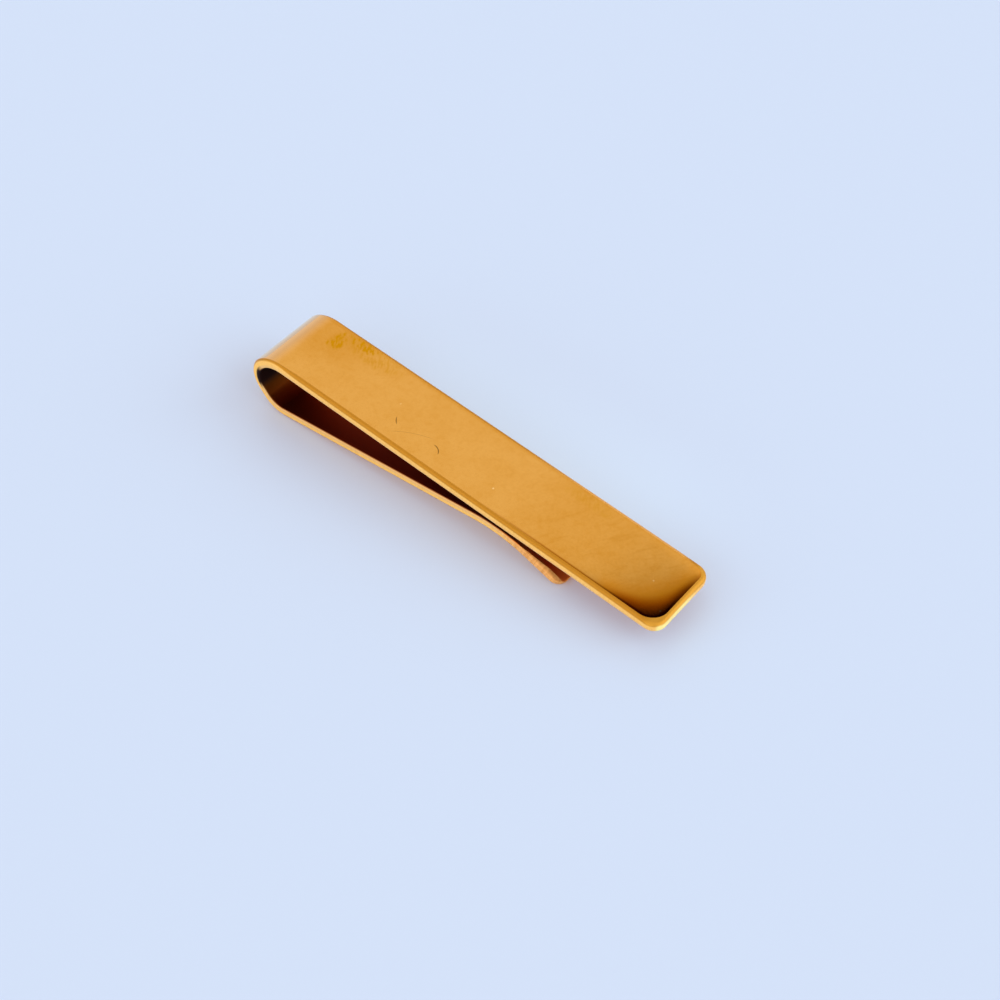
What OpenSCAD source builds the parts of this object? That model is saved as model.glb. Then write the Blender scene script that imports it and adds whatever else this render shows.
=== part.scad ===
// Slide tie clip, bent from one flat strip of plated metal.
//
// The strip runs from the free end of the front bar, over the shoulder, round the fold, down the
// riser, round the heel, along the spring leaf, over the pinch bend and out to the flared tip. Its
// sections are drawn as separate solids that meet face to face. Sizes are in millimetres and angles
// in degrees.
//
// The clip is drawn first in the frame of its bar: X runs along the bar from the outside of the fold,
// Y across it, and Z is zero on the bar's front face. It is then laid down as it rests on a table,
// front face up, on its heel and the edge of its tip.

/* [Strip] */
// Width of the strip
strip_w = 9.6; // [7:0.1:12]
// Thickness of the strip
strip_t = 1.25; // [1:0.05:1.5]
// Rounding of the strip's two outer long edges
edge_r = 0.45; // [0.3:0.05:0.5]
// Rounding of the strip's two inner long edges
inner_edge_r = 0.2; // [0.1:0.05:0.3]

/* [Front bar] */
// Length of the clip, from the outside of the fold to the free end
clip_l = 57.3; // [50:0.1:70]
// Plan radius of the two corners at the free end
corner_r = 1.6; // [1.2:0.1:3]

/* [Fold and heel] */
// Radius of the wide shoulder, where the bar starts to turn, at the middle of the strip
shoulder_r = 4.4; // [3.5:0.1:7]
// Angle that the strip turns through in the shoulder
shoulder_turn = 54; // [40:1:65]
// Radius of the tight fold after it, at the middle of the strip
fold_r = 3.1; // [2.4:0.1:3.5]
// Angle that the strip turns through in the tight fold
fold_turn = 76; // [65:0.5:85]
// Length of the straight riser from the fold to the heel
riser_l = 1; // [0.4:0.05:3]
// Radius of the heel at the middle of the strip
heel_r = 2.9; // [1.8:0.1:4.2]

/* [Spring leaf] */
// Distance from the outside of the fold to the top of the pinch bend
pinch_at = 36; // [30:0.5:44]
// Gap between the pinch bend and the back of the bar when the clip is empty
pinch_gap = 0.45; // [0.2:0.05:1]
// Radius of the pinch bend at the middle of the strip
pinch_r = 15; // [10:0.5:20]

/* [Tip] */
// Angle at which the tip runs away from the bar
flare_angle = 16.7; // [8:0.1:25]
// Length of the straight part of the tip, past the pinch bend
flare_l = 5; // [4:0.1:8]
// Plan radius of the two corners of the tip
tip_r = 1.4; // [1.2:0.1:3.5]

/* [Hidden] */
$fn = 96;

// Headings turn from +X towards +Z. The bar is level, so the strip leaves it at 180 degrees
bar_heading = 180;
fold_heading = bar_heading + shoulder_turn;
riser_heading = fold_heading + fold_turn;

// Half of the thickness, the outer radii of the fold and heel, and the middle of the bar's thickness
half_t = strip_t / 2;
fold_outer_r = fold_r + half_t;
heel_outer_r = heel_r + half_t;
bar_mid_z = -half_t;

// Centres of the bends, as [X, Z] in the bar's frame. The fold is farthest out where the strip's
// heading is straight down, which is past the shoulder.
fold_to_shoulder = (shoulder_r - fold_r) * left_of(fold_heading);
fold_c = [fold_outer_r, bar_mid_z - shoulder_r - fold_to_shoulder[1]];
shoulder_c = fold_c + fold_to_shoulder;
riser_top = fold_c - fold_r * left_of(riser_heading);
riser_foot = riser_top + riser_l * along(riser_heading);
heel_c = riser_foot + heel_r * left_of(riser_heading);
pinch_c = [pinch_at, -strip_t - pinch_gap - half_t - pinch_r];

// The leaf is the straight line that leaves the heel from below and meets the pinch bend from above
heel_to_pinch = pinch_c - heel_c;
leaf_rise = slope(heel_to_pinch) + asin((heel_r + pinch_r) / norm(heel_to_pinch));
leaf_start = heel_c - heel_r * left_of(leaf_rise);
leaf_end = pinch_c + pinch_r * left_of(leaf_rise);
tip_start = pinch_c + pinch_r * left_of(-flare_angle);
tip_end = tip_start + flare_l * along(-flare_angle);

// Centre of the rounding at the tip's lower edge, which the clip rests on
tip_edge_c = tip_end - edge_r * along(-flare_angle) - (half_t - edge_r) * left_of(-flare_angle);

// Tilt of the clip at rest: the table touches the heel's outside and the tip's rounded edge
heel_to_tip = tip_edge_c - heel_c;
rest_tilt = slope(heel_to_tip) + asin((heel_outer_r - edge_r) / norm(heel_to_tip));

// Height of the table and the clip's two ends, seen along the table, in the tilted bar frame
table_z = tilted(heel_c)[1] - heel_outer_r;
fold_end_x = tilted(fold_c)[0] - fold_outer_r;
upper_end_x = tilted([clip_l - edge_r, -edge_r])[0] + edge_r;
lower_end_x = tilted([clip_l - inner_edge_r, inner_edge_r - strip_t])[0] + inner_edge_r;
middle_x = (fold_end_x + max(upper_end_x, lower_end_x)) / 2;

// Unit vector along a heading, and the one a quarter turn to its left
function along(heading) = [cos(heading), sin(heading)];
function left_of(heading) = [-sin(heading), cos(heading)];

// Slope of a vector that points towards +X
function slope(v) = atan(v[1] / v[0]);

// A point of the bar's frame after the clip is tilted about Y
function tilted(p) = [
    p[0] * cos(rest_tilt) + p[1] * sin(rest_tilt),
    p[1] * cos(rest_tilt) - p[0] * sin(rest_tilt)
];

// Moves what is drawn in the bar's frame to the resting pose, with the origin under its middle
module at_rest() {
    translate([-middle_x, 0, -table_z])
        rotate([0, rest_tilt, 0])
            children();
}

// Puts a piece at a point of the strip: its +X follows the heading and its +Z the strip's outside
module on_strip(point, heading) {
    translate([point[0], 0, point[1]])
        rotate([180, -heading, 0])
            children();
}

// Half of a cut across the strip, with both its edges rounded: x runs out to half_w and +y is the
// strip's outside
module rounded_half(half_w) {
    translate([0, -half_t])
        square([half_w - edge_r, strip_t]);
    translate([0, -half_t])
        square([half_w - inner_edge_r, strip_t - edge_r]);
    translate([0, inner_edge_r - half_t])
        square([half_w, strip_t - edge_r - inner_edge_r]);
    translate([half_w - edge_r, half_t - edge_r])
        circle(r = edge_r);
    translate([half_w - inner_edge_r, inner_edge_r - half_t])
        circle(r = inner_edge_r);
}

// Whole cut across the strip
module strip_section() {
    rounded_half(strip_w / 2);
    mirror([1, 0])
        rounded_half(strip_w / 2);
}

// Straight piece of strip from the origin towards +X, with its outside at +Z
module straight_strip(length) {
    rotate([90, 0, 90])
        linear_extrude(height = length)
            strip_section();
}

// Bend about a centre in the XZ plane. outside is 1 where the strip's outside faces away from the
// centre and -1 where it faces the centre.
module bend(centre, radius, start_angle, sweep, outside) {
    translate([centre[0], 0, centre[1]])
        rotate([90, 0, 0])
            rotate([0, 0, start_angle])
                rotate_extrude(angle = sweep)
                    translate([radius, 0])
                        rotate(-90 * outside)
                            strip_section();
}

// Straight piece of strip that ends in two rounded corners, with its edges rounded all round
module end_strip(length, plan_r) {
    straight_strip(length - plan_r);
    translate([length - plan_r, 0, 0]) {
        rotate([90, 0, 0])
            linear_extrude(height = strip_w - 2 * plan_r, center = true)
                rounded_half(plan_r);
        for (side = [-1, 1])
            translate([0, side * (strip_w / 2 - plan_r), 0])
                rotate_extrude()
                    half_of_round(plan_r);
    }
}

// The part of rounded_half that a full turn sweeps, cut off at the axis
module half_of_round(plan_r) {
    intersection() {
        rounded_half(plan_r);
        translate([0, -half_t])
            square([plan_r, strip_t]);
    }
}

// Flat front bar, the face that shows on the tie
module front_bar() {
    color("goldenrod")
        at_rest()
            translate([shoulder_c[0], 0, bar_mid_z])
                end_strip(clip_l - shoulder_c[0], corner_r);
}

// Wide shoulder, where the bar starts to turn down
module shoulder_bend() {
    color("darkgoldenrod")
        at_rest()
            bend(shoulder_c, shoulder_r, bar_heading - 90, shoulder_turn, 1);
}

// Tight fold that turns the strip back behind the bar
module fold_bend() {
    color("gold")
        at_rest()
            bend(fold_c, fold_r, fold_heading - 90, fold_turn, 1);
}

// Short straight riser that slopes down from the fold to the heel
module riser() {
    color("goldenrod")
        at_rest()
            on_strip(riser_top, riser_heading)
                straight_strip(riser_l);
}

// Heel, the lowest part of the back, where the strip turns into the leaf
module heel_bend() {
    color("gold")
        at_rest()
            bend(heel_c, heel_r, riser_heading - 90, 360 + leaf_rise - riser_heading, 1);
}

// Straight leaf that rises from the heel to the pinch bend
module spring_leaf() {
    color("goldenrod")
        at_rest()
            on_strip(leaf_start, leaf_rise)
                straight_strip(norm(leaf_end - leaf_start));
}

// Pinch bend that holds the cloth against the back of the bar
module pinch_bend() {
    color("darkgoldenrod")
        at_rest()
            bend(pinch_c, pinch_r, 90 - flare_angle, leaf_rise + flare_angle, -1);
}

// Flared tip that leads the cloth into the clip
module flared_tip() {
    color("gold")
        at_rest()
            on_strip(tip_start, -flare_angle)
                end_strip(flare_l, tip_r);
}

front_bar();
shoulder_bend();
fold_bend();
riser();
heel_bend();
spring_leaf();
pinch_bend();
flared_tip();
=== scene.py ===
"""Looks of a gold plated slide tie clip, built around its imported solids.

The clip is one strip of polished, gold plated metal. It is made here as the real one is: a flat blank
has its corners rounded and its rim polished, then it is bent to shape. It is divided at its bends, and
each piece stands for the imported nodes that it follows.

Lengths are in millimetres and become metres when a piece is handed over. The strip has coordinates of
its own: s runs along its middle line from the free end of the bar, y across it, and t through its
thickness, where t is positive on the outside.
"""

import logging
import math
from dataclasses import dataclass, field
from enum import Enum
from functools import cached_property, reduce
from math import asin, atan2, cos, pi, radians, sin

import bmesh
import bpy
from mathutils import Euler, Matrix, Vector


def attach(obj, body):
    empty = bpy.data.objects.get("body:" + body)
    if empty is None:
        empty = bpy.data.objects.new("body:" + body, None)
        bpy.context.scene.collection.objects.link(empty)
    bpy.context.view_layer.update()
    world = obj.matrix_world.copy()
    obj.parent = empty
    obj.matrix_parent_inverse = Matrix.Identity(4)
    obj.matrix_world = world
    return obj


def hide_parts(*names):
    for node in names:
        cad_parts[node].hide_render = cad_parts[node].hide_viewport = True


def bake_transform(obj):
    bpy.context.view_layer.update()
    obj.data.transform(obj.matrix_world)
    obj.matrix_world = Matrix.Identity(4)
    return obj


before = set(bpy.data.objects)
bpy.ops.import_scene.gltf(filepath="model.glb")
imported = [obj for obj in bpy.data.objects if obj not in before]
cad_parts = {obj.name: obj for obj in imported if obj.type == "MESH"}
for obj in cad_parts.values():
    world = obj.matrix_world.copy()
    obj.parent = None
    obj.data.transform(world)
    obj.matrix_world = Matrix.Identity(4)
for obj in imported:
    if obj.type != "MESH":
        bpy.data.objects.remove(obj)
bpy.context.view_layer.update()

MM = 0.001
STRIP_LAYER = "strip"
RIM_LAYER = "rim"

log = logging.getLogger("tie_clip")

Colour = tuple[float, float, float]
Direction = tuple[float, float, float]
Ramp = tuple[float, float]


class MathStep(Enum):
    """Operations of the Math node that the finishes use."""

    ADD = "ADD"
    SUBTRACT = "SUBTRACT"
    MULTIPLY = "MULTIPLY"
    DIVIDE = "DIVIDE"
    ABSOLUTE = "ABSOLUTE"
    MAXIMUM = "MAXIMUM"
    MINIMUM = "MINIMUM"
    POWER = "POWER"


class Hold(Enum):
    """How a piece is carried: it rides on one body, or it spans two and is not carried."""

    RIDES = "rides"
    BENDS = "bends"


@dataclass(frozen=True)
class Value:
    """A number that varies over a surface, written in Python's own operators."""

    sheet: "NodeSheet"
    socket: bpy.types.NodeSocket

    def step(self, operation: MathStep, *terms: "Value | float") -> "Value":
        """Returns the result of one Math node on these terms."""
        return self.sheet.add("ShaderNodeMath", {"operation": operation.value}, dict(enumerate(terms)))

    def __add__(self, other: "Value | float") -> "Value":
        """Returns self + other."""
        return self.step(MathStep.ADD, self, other)

    def __radd__(self, other: float) -> "Value":
        """Returns other + self."""
        return self.step(MathStep.ADD, other, self)

    def __sub__(self, other: "Value | float") -> "Value":
        """Returns self - other."""
        return self.step(MathStep.SUBTRACT, self, other)

    def __rsub__(self, other: float) -> "Value":
        """Returns other - self."""
        return self.step(MathStep.SUBTRACT, other, self)

    def __mul__(self, other: "Value | float") -> "Value":
        """Returns self * other."""
        return self.step(MathStep.MULTIPLY, self, other)

    def __rmul__(self, other: float) -> "Value":
        """Returns other * self."""
        return self.step(MathStep.MULTIPLY, other, self)

    def __truediv__(self, other: "Value | float") -> "Value":
        """Returns self / other."""
        return self.step(MathStep.DIVIDE, self, other)

    def __pow__(self, other: float) -> "Value":
        """Returns self to the power of other."""
        return self.step(MathStep.POWER, self, other)

    def __abs__(self) -> "Value":
        """Returns the size of self without its sign."""
        return self.step(MathStep.ABSOLUTE, self)

    def at_most(self, other: "Value | float") -> "Value":
        """Returns the smaller of self and other."""
        return self.step(MathStep.MINIMUM, self, other)

    def at_least(self, other: "Value | float") -> "Value":
        """Returns the larger of self and other."""
        return self.step(MathStep.MAXIMUM, self, other)

    def rise(self, low: float, high: float) -> "Value":
        """Returns a soft step that goes from 0 at low to 1 at high.

        Args:
            low: Where the step starts. It may be above high, and the step then falls.
            high: Where the step ends.

        Returns:
            The step, from 0 to 1.
        """
        if low > high:
            return 1.0 - self.rise(high, low)
        settings = {"interpolation_type": "SMOOTHSTEP"}
        return self.sheet.add("ShaderNodeMapRange", settings, {0: self, 1: low, 2: high, 3: 0.0, 4: 1.0})


class NodeSheet:
    """A node tree that is written as Python expressions."""

    def __init__(self, tree: bpy.types.NodeTree) -> None:
        """Starts an empty sheet on a node tree."""
        self.tree = tree
        tree.nodes.clear()

    def node(self, kind: str, settings: dict[str, object], inputs: dict[int | str, object]) -> bpy.types.Node:
        """Adds one node.

        Args:
            kind: The node's type.
            settings: The node's own settings, which are set before its sockets.
            inputs: The value of each socket, or the Value that is linked to it, by index or name.

        Returns:
            The node.
        """
        made = self.tree.nodes.new(kind)
        for name, setting in settings.items():
            setattr(made, name, setting)
        for key, given in inputs.items():
            if isinstance(given, Value):
                self.tree.links.new(given.socket, made.inputs[key])
            else:
                made.inputs[key].default_value = given
        return made

    def add(
        self,
        kind: str,
        settings: dict[str, object],
        inputs: dict[int | str, object],
        output: int | str = 0,
    ) -> Value:
        """Adds one node and returns one of its outputs, as node() describes."""
        return Value(self, self.node(kind, settings, inputs).outputs[output])

    def mix(self, share: Value | float, first: Colour | Value, second: Colour | Value) -> Value:
        """Returns a mix of two colours: first where share is 0, second where it is 1."""
        ends = {6: self.opaque(first), 7: self.opaque(second)}
        return self.add("ShaderNodeMix", {"data_type": "RGBA"}, {0: share, **ends}, 2)

    def dot(self, vector: Value, direction: Direction) -> Value:
        """Returns the dot product of a vector and a direction."""
        return self.add("ShaderNodeVectorMath", {"operation": "DOT_PRODUCT"}, {0: vector, 1: direction}, 1)

    def noise(self, where: Value, waves: float, detail: float, distortion: float) -> Value:
        """Returns smooth noise around 0.5 with the given number of waves per unit."""
        inputs = {"Vector": where, "Scale": waves, "Detail": detail, "Distortion": distortion}
        return self.add("ShaderNodeTexNoise", {}, inputs)

    def turned(self, where: Value, angle: float, waves_each_way: tuple[float, float, float]) -> Value:
        """Turns coordinates about t and then stretches them, for patterns that run one way.

        Args:
            where: The coordinates.
            angle: How far the pattern is turned.
            waves_each_way: How many waves of the pattern fit a unit along each turned axis.

        Returns:
            The coordinates that such a pattern reads.
        """
        wave = tuple(1.0 / waves for waves in waves_each_way)
        inputs = {"Vector": where, "Rotation": (0, 0, angle), "Scale": wave}
        return self.add("ShaderNodeMapping", {"vector_type": "TEXTURE"}, inputs)

    @staticmethod
    def opaque(colour: Colour | Value) -> tuple[float, ...] | Value:
        """Returns a colour with full alpha, and a linked colour as it is."""
        return colour if isinstance(colour, Value) else (*colour, 1.0)


@dataclass(frozen=True)
class StripSizes:
    """Driving sizes of the strip and its bends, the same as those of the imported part."""

    width: float = 9.6
    thickness: float = 1.25
    clip_length: float = 57.3
    corner_radius: float = 1.6
    shoulder_radius: float = 4.4
    shoulder_turn: float = radians(54)
    fold_radius: float = 3.1
    fold_turn: float = radians(76)
    riser_length: float = 1.0
    heel_radius: float = 2.9
    pinch_at: float = 36.0
    pinch_gap: float = 0.45
    pinch_radius: float = 15.0
    flare_angle: float = radians(16.7)
    flare_length: float = 5.0
    tip_radius: float = 1.4
    outer_edge: float = 0.45
    inner_edge: float = 0.2


def along(heading: float) -> Vector:
    """Returns the unit vector along a heading, which turns from +X towards +Z."""
    return Vector((cos(heading), sin(heading)))


def left_of(heading: float) -> Vector:
    """Returns the unit vector a quarter turn to the left of a heading."""
    return Vector((-sin(heading), cos(heading)))


def slope(step: Vector) -> float:
    """Returns the heading of a vector."""
    return atan2(step.y, step.x)


@dataclass(frozen=True)
class Run:
    """One stretch of the strip's middle line, straight or bent to an arc."""

    start: Vector
    heading: float
    length: float
    turn: float = 0.0

    def place(self, s: float) -> tuple[Vector, float]:
        """Finds a point of the middle line.

        Args:
            s: Distance from the start of this run.

        Returns:
            The point, and the line's heading there.
        """
        if not self.turn:
            return self.start + s * along(self.heading), self.heading
        radius = self.length / self.turn
        centre = self.start + radius * left_of(self.heading)
        heading = self.heading + s / radius
        return centre - radius * left_of(heading), heading


class ClipForm:
    """The bent form of the clip: its middle line, and where it lies at rest on a table."""

    def __init__(self, sizes: StripSizes) -> None:
        """Works out the middle line, in the frame of the bar.

        Args:
            sizes: The driving sizes of the strip.
        """
        half = sizes.thickness / 2
        fold_heading = pi + sizes.shoulder_turn
        riser_heading = fold_heading + sizes.fold_turn
        to_shoulder = (sizes.shoulder_radius - sizes.fold_radius) * left_of(fold_heading)
        self.fold_centre = Vector((sizes.fold_radius + half, -half - sizes.shoulder_radius - to_shoulder.y))
        shoulder_start = self.fold_centre + to_shoulder + Vector((0, sizes.shoulder_radius))
        fold_start = self.fold_centre - sizes.fold_radius * left_of(fold_heading)
        riser_top = self.fold_centre - sizes.fold_radius * left_of(riser_heading)
        riser_foot = riser_top + sizes.riser_length * along(riser_heading)
        heel_centre = riser_foot + sizes.heel_radius * left_of(riser_heading)
        pinch_depth = sizes.thickness + sizes.pinch_gap + half + sizes.pinch_radius
        pinch_centre = Vector((sizes.pinch_at, -pinch_depth))
        reach = pinch_centre - heel_centre
        leaf_rise = slope(reach) + asin((sizes.heel_radius + sizes.pinch_radius) / reach.length)
        leaf_start = heel_centre - sizes.heel_radius * left_of(leaf_rise)
        leaf_end = pinch_centre + sizes.pinch_radius * left_of(leaf_rise)
        tip_start = pinch_centre + sizes.pinch_radius * left_of(-sizes.flare_angle)
        tip_end = tip_start + sizes.flare_length * along(-sizes.flare_angle)
        heel_turn = 2 * pi + leaf_rise - riser_heading
        pinch_turn = leaf_rise + sizes.flare_angle
        shoulder_length = sizes.shoulder_radius * sizes.shoulder_turn
        self.bar = Run(Vector((sizes.clip_length, -half)), pi, sizes.clip_length - shoulder_start.x)
        self.shoulder = Run(shoulder_start, pi, shoulder_length, sizes.shoulder_turn)
        self.fold = Run(fold_start, fold_heading, sizes.fold_radius * sizes.fold_turn, sizes.fold_turn)
        self.riser = Run(riser_top, riser_heading, sizes.riser_length)
        self.heel = Run(riser_foot, riser_heading, sizes.heel_radius * heel_turn, heel_turn)
        self.leaf = Run(leaf_start, leaf_rise, (leaf_end - leaf_start).length)
        self.pinch = Run(leaf_end, leaf_rise, sizes.pinch_radius * pinch_turn, -pinch_turn)
        self.tip = Run(tip_start, -sizes.flare_angle, sizes.flare_length)
        bends = [self.shoulder, self.fold, self.riser, self.heel]
        self.runs = [self.bar, *bends, self.leaf, self.pinch, self.tip]
        self.length = sum(run.length for run in self.runs)
        self.to_rest = self.resting(sizes, heel_centre, tip_end)

    def resting(self, sizes: StripSizes, heel_centre: Vector, tip_end: Vector) -> Matrix:
        """Lays the clip down on its heel and its tip.

        Args:
            sizes: The driving sizes.
            heel_centre: Centre of the heel bend, in the bar's frame.
            tip_end: End of the middle line, in the bar's frame.

        Returns:
            The matrix from the bar's frame to the resting frame, in millimetres.
        """
        edge = sizes.outer_edge
        half = sizes.thickness / 2
        heel_outside = sizes.heel_radius + half
        away = -sizes.flare_angle
        tip_edge = tip_end - edge * along(away) - (half - edge) * left_of(away)
        reach = tip_edge - heel_centre
        tilt = slope(reach) + asin((heel_outside - edge) / reach.length)
        lean = Matrix.Rotation(tilt, 4, "Y")
        heel = lean @ Vector((heel_centre.x, 0, heel_centre.y))
        fold = lean @ Vector((self.fold_centre.x, 0, self.fold_centre.y))
        free_end = lean @ Vector((sizes.clip_length - edge, 0, -edge))
        lowest_x = fold.x - sizes.fold_radius - half
        middle = (lowest_x + free_end.x + edge) / 2
        return Matrix.Translation((-middle, 0, heel_outside - heel.z)) @ lean

    def run_start(self, run: Run) -> float:
        """Returns s where a run starts."""
        return sum(each.length for each in self.runs[: self.runs.index(run)])

    def place(self, s: float) -> tuple[Vector, float]:
        """Finds a point of the middle line.

        Args:
            s: Distance from the free end of the bar.

        Returns:
            The point, and the line's heading there.
        """
        for run in self.runs:
            if s <= run.length:
                return run.place(s)
            s -= run.length
        return self.runs[-1].place(self.runs[-1].length + s)

    def bent(self, flat: Vector) -> Vector:
        """Finds where a point of the flat blank lies once the clip is bent and at rest.

        Args:
            flat: The point (s, y, t) of the blank.

        Returns:
            The point of the clip, in millimetres.
        """
        point, heading = self.place(flat.x)
        point = point - flat.z * left_of(heading)
        return self.to_rest @ Vector((point.x, flat.y, point.y))

    def bent_direction(self, s: float, flat: Vector) -> Vector:
        """Finds how a direction on the flat blank points once the clip is bent and at rest.

        Args:
            s: Place along the strip.
            flat: The direction (s, y, t) on the blank.

        Returns:
            The unit vector on the clip.
        """
        heading = self.place(s)[1]
        turned = flat.x * along(heading) - flat.z * left_of(heading)
        return (self.to_rest.to_3x3() @ Vector((turned.x, flat.y, turned.y))).normalized()


@dataclass(frozen=True)
class PolishedRim:
    """How polishing has worn the strip's faces down towards its rim.

    The outside is worn most at the free end of the bar, and the inside at the tip, where a bevel leads
    the cloth in.
    """

    side_drop: float = 0.032
    side_reach: float = 1.57
    end_side_drop: float = 0.13
    end_side_reach: float = 4.8
    end_drop: float = 0.026
    end_reach: float = 4.1
    lip_drop: float = 0.032
    lip_reach: float = 1.75
    fade: float = 11.7
    power: float = 2.88
    bevel_depth: float = 0.35
    bevel_reach: float = 0.78
    bevel_fade: float = 7.0
    bevel_power: float = 1.2
    bevel_least: float = 0.1
    tip_depth: float = 0.6
    tip_reach: float = 2.4
    tip_power: float = 1.5

    def fall(self, distance: float, reach: float, power: float | None = None) -> float:
        """Returns a smooth share that is 1 at the rim and 0 from reach inwards."""
        return max(0.0, 1 - distance / reach) ** (power or self.power)

    def drop(self, s: float, side: float) -> float:
        """Works out how far the outside face has been polished down.

        Args:
            s: Distance from the free end.
            side: Distance from the nearer long edge.

        Returns:
            The drop below a flat face.
        """
        along_side = self.side_drop * self.fall(side, self.side_reach)
        near_end = self.end_side_drop * self.fall(s, self.fade) * self.fall(side, self.end_side_reach)
        lip = self.lip_drop * self.fall(s, self.lip_reach)
        return along_side + near_end + lip + self.end_drop * self.fall(s, self.end_reach)

    def bevel(self, from_tip: float, side: float) -> float:
        """Works out how deep the bevels of the tip cut into the inside face.

        Args:
            from_tip: Distance from the end of the tip.
            side: Distance from the nearer long edge.

        Returns:
            The depth below a flat face: a bevel along each side that grows towards the end, and a
            slope across the end.
        """
        grown = self.fall(from_tip, self.bevel_fade, 1.0)
        reach = self.bevel_reach * max(grown, self.bevel_least)
        at_side = self.bevel_depth * grown * self.fall(side, reach, self.bevel_power)
        at_end = self.tip_depth * self.fall(from_tip, self.tip_reach, self.tip_power)
        return max(at_side, at_end)


class Blank:
    """The flat strip before it is bent, with rounded corners and edges and a polished rim."""

    CORNER_STEPS = 14
    OUTER_STEPS = 8
    INNER_STEPS = 2
    SNAP = 0.002
    PROBE = 0.01
    NEAREST_CUTS = 0.01

    def __init__(self, sizes: StripSizes, form: ClipForm, rim: PolishedRim) -> None:
        """Keeps what the blank is cut from.

        Args:
            sizes: The driving sizes of the strip.
            form: The bent form, for where the blank needs fine cuts.
            rim: The worn rim.
        """
        self.sizes = sizes
        self.form = form
        self.rim = rim
        self.half_width = sizes.width / 2
        self.half_thickness = sizes.thickness / 2

    def build(self) -> bmesh.types.BMesh:
        """Cuts the blank and divides it finely enough to bend.

        Returns:
            The closed flat blank, with s, y and t as its coordinates.
        """
        bm = bmesh.new()
        bmesh.ops.create_cube(bm, size=1)
        bmesh.ops.scale(bm, vec=(self.form.length, self.sizes.width, self.sizes.thickness), verts=bm.verts)
        bmesh.ops.translate(bm, vec=(self.form.length / 2, 0, 0), verts=bm.verts)
        self.round_corners(bm, 0, self.sizes.corner_radius)
        self.round_corners(bm, self.form.length, self.sizes.tip_radius)
        self.round_rim(bm, self.half_thickness, self.sizes.outer_edge, self.OUTER_STEPS)
        self.round_rim(bm, -self.half_thickness, self.sizes.inner_edge, self.INNER_STEPS)
        for s in self.cuts_along():
            self.cut(bm, Vector((s, 0, 0)), Vector((1, 0, 0)))
        for y in self.cuts_across():
            self.cut(bm, Vector((0, y, 0)), Vector((0, 1, 0)))
        return bm

    def round_corners(self, bm: bmesh.types.BMesh, s: float, radius: float) -> None:
        """Rounds the two corners of the blank's outline at one end.

        Args:
            bm: The blank.
            s: Where that end is.
            radius: Radius of the corners.
        """
        upright = [
            edge
            for edge in bm.edges
            if all(abs(v.co.x - s) < self.SNAP for v in edge.verts)
            and abs(edge.verts[0].co.y - edge.verts[1].co.y) < self.SNAP
        ]
        bmesh.ops.bevel(
            bm,
            geom=upright,
            offset=radius,
            offset_type="OFFSET",
            affect="EDGES",
            segments=self.CORNER_STEPS,
            profile=0.5,
            material=-1,
        )

    def round_rim(self, bm: bmesh.types.BMesh, t: float, radius: float, segments: int) -> None:
        """Rounds the edge all round one face of the blank.

        Args:
            bm: The blank.
            t: Where that face is.
            radius: Radius of the rounding.
            segments: Number of facets of the rounding.
        """
        edges = [edge for edge in bm.edges if all(abs(v.co.z - t) < self.SNAP for v in edge.verts)]
        bmesh.ops.bevel(
            bm,
            geom=edges,
            offset=radius,
            offset_type="OFFSET",
            affect="EDGES",
            segments=segments,
            profile=0.5,
            material=-1,
        )

    def cut(self, bm: bmesh.types.BMesh, point: Vector, normal: Vector) -> None:
        """Divides the blank's faces along a plane."""
        geometry = [*bm.verts, *bm.edges, *bm.faces]
        bmesh.ops.bisect_plane(bm, geom=geometry, plane_co=point, plane_no=normal, dist=self.SNAP)

    def cuts_along(self) -> list[float]:
        """Lists the cuts across the strip, which are fine at its ends and in its bends.

        Returns:
            The value of s at each cut.
        """
        end_step = 0.25
        free_end_length = 9.0
        tip_length = 4.0
        bend_step = radians(2.25)
        plain_step = 1.0
        places = [end_step * (1 + i) for i in range(round(free_end_length / end_step))]
        places += [self.form.length - end_step * (1 + i) for i in range(round(tip_length / end_step))]
        for run in self.form.runs:
            start = self.form.run_start(run)
            steps = abs(run.turn) / bend_step if run.turn else run.length / plain_step
            count = math.ceil(steps)
            places += [start + run.length * i / count for i in range(count)]
        ordered = sorted(place for place in places if 0 < place < self.form.length)
        return [b for a, b in zip([0.0, *ordered], ordered) if b - a > self.NEAREST_CUTS]

    def cuts_across(self) -> list[float]:
        """Lists the cuts along the strip, which are fine at the rim, where the face rolls down.

        Returns:
            The value of y at each cut.
        """
        growth = 1.28
        sides = [0.0]
        inset = self.sizes.outer_edge
        step = 0.14
        while inset < self.half_width - step:
            sides += [self.half_width - inset, inset - self.half_width]
            inset += step
            step *= growth
        return sorted(sides)

    def way_out(self, s: float, y: float) -> tuple[float, Vector]:
        """Finds the nearest stretch of the blank's outline.

        Args:
            s: Place along the strip.
            y: Place across it.

        Returns:
            The distance in from the outline, and the unit vector (s, y) that points out over it.
        """
        at_tip = s > self.form.length / 2
        end_way = 1.0 if at_tip else -1.0
        from_end = self.form.length - s if at_tip else s
        from_side = self.half_width - abs(y)
        radius = self.sizes.tip_radius if at_tip else self.sizes.corner_radius
        side_way = math.copysign(1.0, y)
        if from_end < radius and from_side < radius:
            reach = Vector((radius - from_end, radius - from_side))
            out = reach.normalized()
            return radius - reach.length, Vector((end_way * out.x, side_way * out.y))
        if from_end < from_side:
            return from_end, Vector((end_way, 0))
        return from_side, Vector((0, side_way))

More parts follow.
